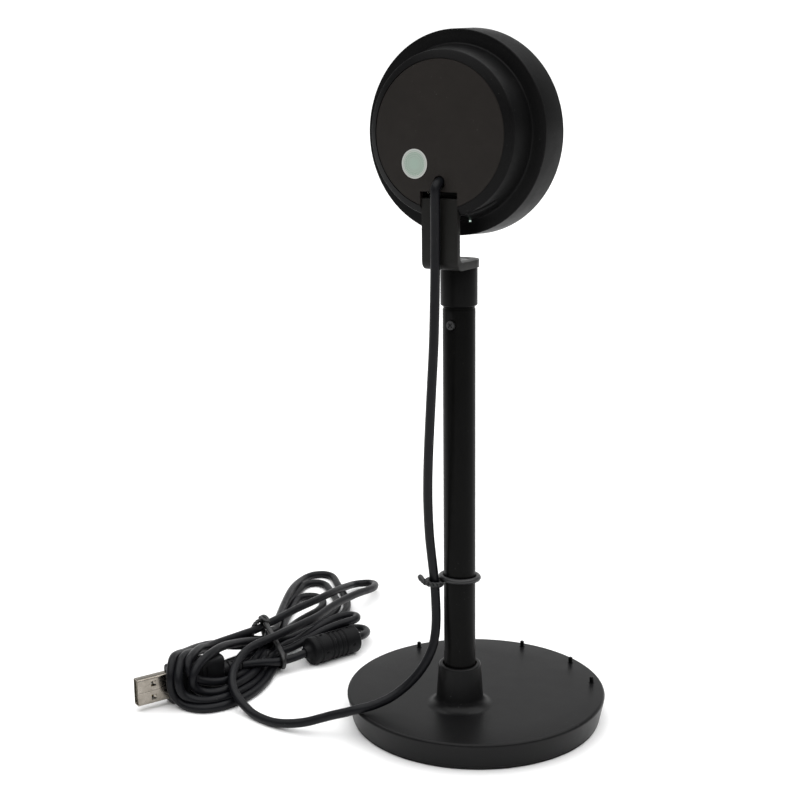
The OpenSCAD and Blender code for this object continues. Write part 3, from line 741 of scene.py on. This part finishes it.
def bracket():
    half = BRACKET_W / 2
    outline = [(31.9, 222.2), (31.5, 222.6), (27, 222.6), (26.4, 225), (23.5, 226), (22.5, 223),
               (26.6, 218.4), (29.9, 215.6)] + arc(27.4, 200.6, 2.5, 0, -90, 12)
    outline += [(9.1, 198.1), (9.1, 195.1)] + arc(28.4, 198.6, 3.5, -90, 0, 14)
    ob = slab("bracket_plate", outline, POLE[0] - half, POLE[0] + half, (0, 0, 0), ROUND_X)
    knuckle = lathe("k", [(1.6, -half), (3.6, -half), (3.6, half), (1.6, half)], 64, True, TILT, ROUND_X)
    cut(ob, knuckle, joined=True)
    cut(ob, rod("bore", 1.58, -9, 9, 48, TILT, ROUND_X))
    round_end = arc(POLE[0], POLE[1], 7.9, 180, 360, 40)
    left, right = POLE[0] - 10, POLE[0] + 10
    corner = round_end + [(right, POLE[1]), (right, 4), (left, 4), (left, POLE[1])]
    cut(ob, slab("corner", corner, 193, 200))
    sink = [(0, 190), (2.55, 190), (2.55, 196.1), (4.05, 198.2), (4.05, 199), (0, 199)]
    cut(ob, lathe("sink", sink, 64, True, (*POLE, 0)))
    return bevel(ob, 0.35, 3, 35)


base_skin = base_shell()
boss_skin = base_boss()
pegs = edge_pegs()
pad = foot_pad()
pole_skin = pole_tube()
collar_skin = collar()
plate_skin = bracket()


# ------------------------------------------------------------------ head
def slot_box():
    return block("slot", (-8.1, 21.3, 16), (8.1, 61, 56), HEAD_SPOT, HEAD_TURN)


def head_shell():
    drum = arc(33.9, 14.8, 0.8, 270, 190, 5) + [(32.4, 17), (31.9, 19.6)] + arc(30.6, 23.6, 0.6, 10, 75, 6)
    profile = [(38.85, 0), (39.2, 0.12), (39.4, 0.5), (39.4, 0.9)] + arc(38.3, 13.5, 0.5, 5, 90, 5)
    profile += [(36, 14)] + drum
    profile += [(27.95, HEAD_DEPTH), (27.9, 24.1), (25.6, 24.1), (25.6, 22.9), (28.6, 22.9), (29, 22),
                (30.5, 14), (31, 12), (37.2, 12), (37.2, 0)]
    ob = lathe("head_case", profile, 288, True, HEAD_SPOT, HEAD_TURN)
    cut(ob, slot_box())
    cut(ob, rod("pipe", 0.9, 0, 12.2, 32, (PIPE_X, HEAD_FRONT, PIPE_Z), HEAD_TURN),
        rod("tip", 0.38, 12, 20, 24, (PIPE_X, HEAD_FRONT, TIP_Z), HEAD_TURN))
    ears = []
    for low in (8.4, -11.4):
        outline = [(29.3, 12.6), (29.3, 20.4)] + arc(20.4, 17.1, 4.2, 75, 290, 20) + [(24, 12.6)]
        ear = slab("ear", outline, low, low + 3, HEAD_SPOT, HEAD_TURN @ ROUND_X)
        ears.append(bevel(ear, 0.3, 2))
    bevel(ob, 0.12, 2, 55)
    lip, steps, start, sweep = [], 24, 229, 20  # the ridge on the drum, beside the bracket
    for k in range(steps + 1):
        t = k / steps
        a = radians(start + sweep * t)
        r = 32.0 - 0.9 * t - 0.9 * (1 - min(1, t / 0.12)) ** 2
        lip.append((HEAD_X + r * cos(a), HEAD_FRONT + 18.6 + 4.6 * t, HEAD_Z + r * sin(a)))
    ears.append(tube("lip", np.array(lip), 0.85, 12))
    return join("head_case", ob, *ears)


def rear_plate():
    profile = [(0, 24.1), (27.8, 24.1), (27.8, 25.8), (27.55, 26.05), (27.3, HEAD_DEPTH), (0, HEAD_DEPTH)]
    ob = lathe("rear_plate", profile, 256, True, HEAD_SPOT, HEAD_TURN)
    cut(ob, slot_box())
    rx, ry, reach, wide = -0.3, 18, 0.4, 2.4
    outline = arc(rx, ry + reach, wide, 0, 180, 20) + arc(rx, ry - reach, wide, 180, 360, 20)
    cut(ob, slab("hole", outline, 20, 40, HEAD_SPOT, HEAD_TURN))
    return bevel(ob, 0.22, 3, 60)


def front_ring():
    profile = [(33.2, 1.1), (33.2, -0.2)] + arc(33.9, -0.4, 0.7, 180, 270, 6)
    profile += arc(36.3, -0.35, 0.8, 270, 360, 6) + [(37.1, 4.4), (34.6, 4.4), (34.6, 1.2)]
    return lathe("front_ring", profile, 256, True, HEAD_SPOT, HEAD_TURN)


def grille_sheet():
    """A perforated sheet: six-sided cells, those inside 32.2 mm each with a round hole, trimmed to the rim.
    """
    pitch, hole, rim, holed_to, low, high = 2.1, 0.68, 34.4, 32.2, 1.2, 1.9
    across = 0.866  # a six-sided cell's width for each unit between corners
    verts, faces = [], []
    rows = int(rim / (pitch * across)) + 2
    cell = pitch / math.sqrt(3)
    for row in range(-rows, rows + 1):
        for col in range(-rows - 2, rows + 3):
            cx, cy = pitch * (col + 0.5 * (row % 2)), pitch * across * row
            reach = math.hypot(cx, cy)
            if reach > rim + 0.4:
                continue
            start = len(verts)
            ring = []
            for k in range(12):
                a = radians(30 * k)
                out = cell if k % 2 else cell * across
                x, y = cx + out * cos(a), cy + out * sin(a)
                far = math.hypot(x, y)
                trim = min(1, rim / far) if far else 1
                ring.append((x * trim, y * trim))
            holed = reach < holed_to
            for h in (low, high):
                verts += [(x, y, h) for x, y in ring]
                if holed:
                    verts += [(x, y, h) for x, y in arc(cx, cy, hole, 0, 330, 11)]
            if not holed:
                faces.append(tuple(start + k for k in range(12)))
                faces.append(tuple(start + 12 + k for k in range(12))[::-1])
                continue
            for k in range(12):
                q = (k + 1) % 12
                faces.append((start + k, start + q, start + 12 + q, start + 12 + k))
                faces.append((start + 24 + q, start + 24 + k, start + 36 + k, start + 36 + q))
                faces.append((start + 12 + k, start + 12 + q, start + 36 + q, start + 36 + k))
    pts = [HEAD_TURN @ Vector(v) + Vector(HEAD_SPOT) for v in verts]
    return piece("grille_sheet", pts, faces, 40)


def round_label():
    edge = ((0, 0.02), (5.5, 0.02), (5.6, 0.06), (5.55, 0.14), (0, 0.15))
    profile = [(r, HEAD_DEPTH + h) for r, h in edge]
    return lathe("round_label", profile, 96, True, (LABEL_X, HEAD_FRONT, LABEL_Z), HEAD_TURN)


def light_guide():
    body = lathe("body", [(0, 8), (0.86, 8), (0.86, 11.6), (0.7, 11.8), (0, 11.8)], 32, True,
                 (PIPE_X, HEAD_FRONT, PIPE_Z), HEAD_TURN)
    fine = [(0, 11.5), (0.35, 11.5), (0.35, 14.5)] + arc(0.1, 14.5, 0.25, 0, 90, 5) + [(0, 14.75)]
    tip = lathe("tip", fine, 24, True, (PIPE_X, HEAD_FRONT, TIP_Z), HEAD_TURN)
    return join("light_guide", body, tip)


case_skin = head_shell()
plate = rear_plate()
ring_skin = front_ring()
grille_skin = grille_sheet()
label = round_label()
guide = light_guide()
for skin, body, slot_name, nodes in (
        (base_skin, "stand", "base_plastic", ["base_cover"]),
        (boss_skin, "stand", "base_plastic", []),
        (pegs, "stand", "peg_plastic", ["rim_pegs"]),
        (pad, "stand", "pad_rubber", ["base_pad"]),
        (pole_skin, "stand", "pole_paint", ["pole"]),
        (collar_skin, "stand", "collar_paint", ["swivel_collar"]),
        (pole_tie, "stand", "tie_cord", ["pole_tie"]),
        (hank_tie, "stand", "tie_cord", ["hank_tie"]),
        (ferrite_skin, "stand", "ferrite_jacket", ["ferrite_sleeve"]),
        (plug_skin, "stand", "plug_jacket", ["plug_body"]),
        (plug_shell, "stand", "plug_metal", ["plug_shell"]),
        (plug_tongue, "stand", "plug_white", ["plug_tongue"]),
        (plug_pins, "stand", "brass", []),
        (plate_skin, "yoke", "bracket_paint", ["bracket"]),
        (case_skin, "head", "head_plastic", ["head_shell"]),
        (plate, "head", "disc_plastic", ["rear_disc"]),
        (ring_skin, "head", "bezel_plastic", ["front_bezel"]),
        (grille_skin, "head", "grille_paint", ["grille"]),
        (label, "head", "label_paper", ["check_label"]),
        (guide, "head", "clear_plastic", ["light_pipe"])):
    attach(skin, body)
    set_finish(skin, slot_name)
    if nodes:
        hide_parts(*nodes)


# ------------------------------------------------------------------ materials
def feed(tree, made, **values):
    """Sets or links a node's inputs by name; i0 is the first one."""
    for key, value in values.items():
        numbered = key[0] == "i" and key[1:].isdigit()
        socket = made.inputs[int(key[1:]) if numbered else key.replace("_", " ")]
        if isinstance(value, bpy.types.NodeSocket):
            tree.links.new(value, socket)
        else:
            socket.default_value = value


def node(tree, kind, props=None, **values):
    """A shader node with its properties and input values set."""
    made = tree.nodes.new(kind)
    for key, value in (props or {}).items():
        setattr(made, key, value)
    feed(tree, made, **values)
    return made


def math_node(tree, op, a, b=0.0):
    return node(tree, "ShaderNodeMath", {"operation": op}, i0=a, i1=b).outputs[0]


def times(tree, a, b):
    return math_node(tree, "MULTIPLY", a, b)


def ramp(tree, fac, low, high, out_low=0.0, out_high=1.0):
    return node(tree, "ShaderNodeMapRange", {"clamp": True}, i0=fac, i1=low, i2=high,
                i3=out_low, i4=out_high).outputs[0]


def mix(tree, fac, a, b):
    made = node(tree, "ShaderNodeMix", {"data_type": "RGBA"}, Factor=fac)
    for key, value in ((6, a), (7, b)):
        if isinstance(value, bpy.types.NodeSocket):
            tree.links.new(value, made.inputs[key])
        else:
            made.inputs[key].default_value = (*value, 1)
    return made.outputs[2]


def scaled(colour, k):
    return tuple(min(1.0, c * k) for c in colour)


def noise(tree, where, size, detail=3.0, rough=0.5, stretch=(1, 1, 1)):
    """Noise whose lumps are about size millimetres across."""
    grow = node(tree, "ShaderNodeVectorMath", {"operation": "MULTIPLY"}, i0=where, i1=stretch).outputs[0]
    return node(tree, "ShaderNodeTexNoise", None, Vector=grow, Scale=1 / (size * MM), Detail=detail,
                Roughness=rough).outputs["Fac"]


def surface(name, colour, rough, metal=0.0, gloss=0.5, grain=0.35, bump=0.15, mottle=9.0, vary=0.12,
            rough_vary=0.07, dust=0.0, stretch=(1, 1, 1), tint=None):
    """A worn, finely grained finish; returns the material, its tree, shader and coordinates."""
    mat = bpy.data.materials.new(name)
    mat.use_nodes = True
    tree = mat.node_tree
    shader = tree.nodes["Principled BSDF"]
    where = node(tree, "ShaderNodeTexCoord").outputs["Object"]
    cloud = noise(tree, where, mottle, 4)
    fine = noise(tree, where, grain, 2, 0.6, stretch)
    body = mix(tree, ramp(tree, cloud, 0.3, 0.7), scaled(colour, 1 - vary),
               tint or scaled(colour, 1 + vary))
    body = mix(tree, ramp(tree, fine, 0.35, 0.65, 0, 0.5), body, scaled(colour, 1 - 0.6 * vary))
    if dust:
        spots = node(tree, "ShaderNodeTexVoronoi", None, Vector=where, Scale=420.0,
                     Randomness=1.0).outputs["Distance"]
        where_dust = times(tree, ramp(tree, spots, 0.12, 0.05), ramp(tree, cloud, 0.5, 0.62))
        body = mix(tree, times(tree, where_dust, dust), body, (0.45, 0.45, 0.44))
    patch = noise(tree, where, mottle * 0.37, 5, 0.6, stretch)
    worn = ramp(tree, patch, 0.25, 0.75, rough - rough_vary, rough + rough_vary)
    feed(tree, shader, Base_Color=body, Roughness=worn, Metallic=metal, Specular_IOR_Level=gloss)
    if bump:
        lift = node(tree, "ShaderNodeBump", None, Height=fine, Strength=bump, Distance=0.0001)
        feed(tree, shader, Normal=lift.outputs[0])
    return mat, tree, shader, where


def label_paint():
    """A pale check label: fine crossing rings and rays under a light border, and no words."""
    paper = (0.3, 0.36, 0.31)
    mat, tree, shader, where = surface("label_paper", paper, 0.42, grain=0.15, bump=0.05, vary=0.04)
    middle = Vector((LABEL_X, 0, LABEL_Z)) * MM
    flat = node(tree, "ShaderNodeVectorMath", {"operation": "MULTIPLY"}, i0=where, i1=(1, 0, 1)).outputs[0]
    rel = node(tree, "ShaderNodeVectorMath", {"operation": "SUBTRACT"}, i0=flat, i1=middle).outputs[0]
    far = node(tree, "ShaderNodeVectorMath", {"operation": "LENGTH"}, i0=rel).outputs["Value"]
    parts = node(tree, "ShaderNodeSeparateXYZ", None, i0=rel)
    turn = math_node(tree, "ARCTAN2", parts.outputs["Z"], parts.outputs["X"])
    wave = math_node(tree, "SINE", times(tree, turn, 12.0))
    bent = math_node(tree, "ADD", times(tree, far, 7500.0), wave)
    rings = ramp(tree, math_node(tree, "SINE", bent), 0.1, 0.8)
    rays = ramp(tree, math_node(tree, "SINE", times(tree, turn, 36.0)), 0.5, 0.9)
    inner = ramp(tree, far, 0.0046, 0.0044)
    core = ramp(tree, far, 0.0022, 0.0020)
    base = mix(tree, times(tree, rings, 0.55), paper, (0.15, 0.23, 0.18))
    base = mix(tree, times(tree, rays, 0.6), base, (0.12, 0.18, 0.15))
    base = mix(tree, inner, (0.42, 0.43, 0.41), base)
    base = mix(tree, times(tree, core, 0.75), base, (0.26, 0.34, 0.29))
    line = times(tree, ramp(tree, far, 0.0047, 0.0048), ramp(tree, far, 0.0051, 0.005))
    base = mix(tree, times(tree, line, 0.7), base, (0.2, 0.26, 0.22))
    feed(tree, shader, Base_Color=base)
    return mat


def board_paint():
    """Circuit board lacquer with copper tracks under it and small gold pads."""
    mat, tree, shader, where = surface("board_green", (0.012, 0.09, 0.035), 0.3, gloss=0.5, bump=0.05)
    track = node(tree, "ShaderNodeTexVoronoi", {"distance": "MANHATTAN", "feature": "F2"}, Vector=where,
                 Scale=380.0)
    near = node(tree, "ShaderNodeTexVoronoi", {"distance": "MANHATTAN"}, Vector=where, Scale=380.0)
    edge = math_node(tree, "SUBTRACT", track.outputs["Distance"], near.outputs["Distance"])
    colour = mix(tree, ramp(tree, edge, 0.05, 0.08), (0.03, 0.2, 0.07), (0.012, 0.09, 0.035))
    pads = ramp(tree, near.outputs["Distance"], 0.13, 0.1)
    feed(tree, shader, Base_Color=mix(tree, pads, colour, (0.75, 0.55, 0.25)), Metallic=pads)
    return mat


def foam_paint():
    mat, tree, shader, where = surface("foam_black", (0.02, 0.02, 0.022), 0.95, gloss=0.1, bump=0.0, vary=0.3)
    cells = node(tree, "ShaderNodeTexVoronoi", {"feature": "DISTANCE_TO_EDGE"}, Vector=where,
                 Scale=1600.0)
    pore_depth_and_shade = ramp(tree, cells.outputs["Distance"], 0.0, 0.25)
    # painted shade: the cell hollows are coloured near black and the strands lighter, as if shade fell in the
    # pores
    colour = mix(tree, pore_depth_and_shade, (0.05, 0.05, 0.055), (0.004, 0.004, 0.004))
    lift = node(tree, "ShaderNodeBump", {"invert": True}, Height=pore_depth_and_shade, Strength=0.8, Distance=0.0004)
    feed(tree, shader, Base_Color=colour, Normal=lift.outputs[0])
    return mat


def clear_paint_with_painted_glow():
    mat, tree, shader, _ = surface("clear_plastic", (0.82, 0.9, 0.86), 0.2, gloss=0.6, bump=0.03, vary=0.05)
    # the emission is painted light: a faint glow that stands in for the glint on the light guide, which is no
    # lamp
    feed(tree, shader, Transmission_Weight=0.35, Emission_Color=(0.8, 0.95, 0.88, 1), Emission_Strength=0.25)
    return mat


# slot: colour, roughness and the rest of the finish
FINISHES = {
    "base_plastic": ((0.0042, 0.0042, 0.0044), 0.38, dict(gloss=0.14, grain=0.22, bump=0.1, vary=0.08,
        mottle=26, rough_vary=0.03, dust=0.08)),
    "ballast": ((0.16, 0.16, 0.17), 0.7, dict(metal=0.8, grain=0.5, bump=0.6, vary=0.3)),
    "pad_rubber": ((0.013, 0.013, 0.013), 0.85, dict(gloss=0.2, grain=0.3, bump=0.5, vary=0.2)),
    "peg_plastic": ((0.0022, 0.0022, 0.0024), 0.4, dict(gloss=0.1, vary=0.2, grain=0.2)),
    "zinc_steel": ((0.6, 0.61, 0.62), 0.32, dict(metal=1.0, grain=0.2, bump=0.1, vary=0.15, mottle=2.5,
        tint=(0.66, 0.63, 0.52))),
    "brass": ((0.72, 0.55, 0.26), 0.25, dict(metal=1.0, grain=0.2, bump=0.05, vary=0.15, mottle=2)),
    "pole_paint": ((0.003, 0.003, 0.0029), 0.34, dict(gloss=0.06, grain=0.25, bump=0.16, vary=0.12,
        mottle=14, dust=0.03)),
    "collar_paint": ((0.003, 0.003, 0.003), 0.4, dict(gloss=0.06, grain=0.25, bump=0.16, vary=0.12)),
    "black_steel": ((0.03, 0.03, 0.031), 0.35, dict(metal=0.6, grain=0.15, bump=0.1, vary=0.25,
        mottle=1.5)),
    "spring_steel": ((0.5, 0.5, 0.52), 0.3, dict(metal=1.0, grain=0.2, bump=0.08, vary=0.15)),
    "tie_cord": ((0.006, 0.006, 0.0065), 0.42, dict(gloss=0.5, grain=0.3, bump=0.3, vary=0.25, mottle=3)),
    "bracket_paint": ((0.0084, 0.0082, 0.0074), 0.42, dict(gloss=0.12, grain=0.28, bump=0.22, vary=0.12)),
    "head_plastic": ((0.003, 0.003, 0.0031), 0.42, dict(gloss=0.08, grain=0.3, bump=0.2, vary=0.12,
        mottle=16, dust=0.04)),
    "disc_plastic": ((0.0118, 0.0098, 0.0084), 0.6, dict(gloss=0.15, grain=0.26, bump=0.4, vary=0.14,
        mottle=12, dust=0.05)),
    "clamp_plastic": ((0.015, 0.015, 0.015), 0.5, dict(vary=0.2)),
    "bezel_plastic": ((0.011, 0.011, 0.012), 0.28, dict(gloss=0.5, grain=0.3, bump=0.08, vary=0.12)),
    "grille_paint": ((0.022, 0.022, 0.024), 0.42, dict(metal=0.3, grain=0.25, bump=0.2, vary=0.15)),
    "inner_plastic": ((0.06, 0.06, 0.065), 0.6, dict(vary=0.12)),
    "mount_rubber": ((0.014, 0.014, 0.014), 0.8, dict(gloss=0.2, bump=0.3, vary=0.2)),
    "capsule_metal": ((0.68, 0.68, 0.7), 0.3, dict(metal=1.0, grain=0.15, bump=0.1, mottle=2)),
    "lead_wire": ((0.42, 0.05, 0.03), 0.4, dict(vary=0.15, mottle=2)),
    "board_black": ((0.016, 0.016, 0.017), 0.45, dict(grain=0.12, bump=0.2, vary=0.25, mottle=1.5)),
    "connector_white": ((0.7, 0.68, 0.62), 0.45, dict(vary=0.06, mottle=3)),
    "cable_jacket": ((0.004, 0.0042, 0.0054), 0.4, dict(gloss=0.15, grain=0.35, bump=0.12, vary=0.18,
        mottle=7, rough_vary=0.08, dust=0.1)),
    "led_body": ((0.6, 0.78, 0.64), 0.2, dict(vary=0.08, mottle=1)),
    "washer_nylon": ((0.62, 0.6, 0.52), 0.5, dict(vary=0.08, mottle=2)),
    "ferrite_jacket": ((0.004, 0.0041, 0.0047), 0.5, dict(gloss=0.1, grain=0.3, bump=0.3, vary=0.15,
        dust=0.08)),
    "ferrite_grey": ((0.09, 0.09, 0.1), 0.6, dict(metal=0.2, grain=0.2, bump=0.3, vary=0.2)),
    "plug_jacket": ((0.0045, 0.0046, 0.0053), 0.5, dict(gloss=0.22, grain=0.3, bump=0.3, vary=0.15)),
    "plug_metal": ((0.25, 0.225, 0.19), 0.24, dict(metal=1.0, grain=0.25, bump=0.07, vary=0.08, mottle=3.5,
        stretch=(0.4, 0.4, 3), tint=(0.36, 0.33, 0.29))),
    "plug_white": ((0.78, 0.77, 0.72), 0.4, dict(vary=0.05, mottle=3)),
}
MATERIALS = {key: surface(key, colour, rough, **more)[0] for key, (colour, rough, more) in FINISHES.items()}
MATERIALS["label_paper"] = label_paint()
MATERIALS["board_green"] = board_paint()
MATERIALS["foam_black"] = foam_paint()
MATERIALS["clear_plastic"] = clear_paint_with_painted_glow()


def dress(ob, key):
    ob.data.materials.clear()
    ob.data.materials.append(MATERIALS[key])


slot_of = {row["node"]: row["material_slot"] for row in frame["record"]["subparts"]}
for name, ob in frame["nodes"].items():
    dress(ob, slot_of[name])
    if not ob.hide_render:
        edge = ob.modifiers.new("edge", "BEVEL")
        edge.width = 0.15 * MM
        edge.segments = 2
        edge.limit_method = "ANGLE"
        edge.angle_limit = radians(50)
for ob in list(scene.objects):
    if "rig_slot" in ob:
        dress(ob, ob["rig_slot"])


# ------------------------------------------------------------------ floor and light
BACKDROP = 1.15
ROOM = 0.045
HORIZON = 0.22
AHEAD = (0.53, -0.85, 0.0)


def floor():
    reach = 30000
    corners = [(-reach, -reach, 0), (reach, -reach, 0), (reach, reach, 0), (-reach, reach, 0)]
    ob = piece("floor", corners, [(0, 1, 2, 3)])
    mat = bpy.data.materials.new("floor")
    mat.use_nodes = True
    feed(mat.node_tree, mat.node_tree.nodes["Principled BSDF"], Base_Color=(0.93, 0.93, 0.93, 1),
         Roughness=0.7, Specular_IOR_Level=0.2)
    ob.data.materials.append(mat)


def sky():
    """A studio round the object: bright behind it and low down, darker on the camera's side."""
    world = bpy.data.worlds.new("studio")
    scene.world = world
    world.use_nodes = True
    tree = world.node_tree
    out = tree.nodes["Background"]
    way = node(tree, "ShaderNodeTexCoord").outputs["Generated"]
    parts = node(tree, "ShaderNodeSeparateXYZ", None, i0=way)
    ahead = node(tree, "ShaderNodeVectorMath", {"operation": "DOT_PRODUCT"}, i0=way,
                 i1=AHEAD).outputs["Value"]
    front = ramp(tree, ahead, 0.3, 0.85)
    low = ramp(tree, parts.outputs["Z"], 0.6, 0.25)
    back_glow = times(tree, front, low)
    level = math_node(tree, "ADD", times(tree, back_glow, BACKDROP - ROOM), ROOM)
    horizon = ramp(tree, math_node(tree, "ABSOLUTE", parts.outputs["Z"]), 0.1, 0.03, 0, HORIZON)
    level = math_node(tree, "MAXIMUM", level, horizon)
    feed(tree, out, Strength=level, Color=(1, 1, 1, 1))


def lamp(name, kind, power, place, way, **facts):
    """A light that shines along way, with the light's other facts set by name."""
    data = bpy.data.lights.new(name, kind)
    data.energy = power
    for key, value in facts.items():
        setattr(data, key, value)
    ob = put(name, data)
    ob.location = place
    ob.rotation_euler = Vector(way).to_track_quat("-Z", "Y").to_euler()


def softbox(name, place, target, size, power):
    lamp(name, "AREA", power, place, Vector(target) - Vector(place), shape="RECTANGLE",
         size=size[0], size_y=size[1])


floor()
sky()
lamp("overhead", "SUN", 4.6, (0, 0, 0), (0.1, -0.06, -1), angle=radians(105))
softbox("right_box", (-1.1, -0.55, 0.75), (0, 0, 0.2), (0.7, 1.2), 1.1)
softbox("left_box", (0.95, 0.75, 0.7), (0, 0, 0.15), (0.5, 1.1), 0.8)
scene.view_settings.view_transform = "Standard"
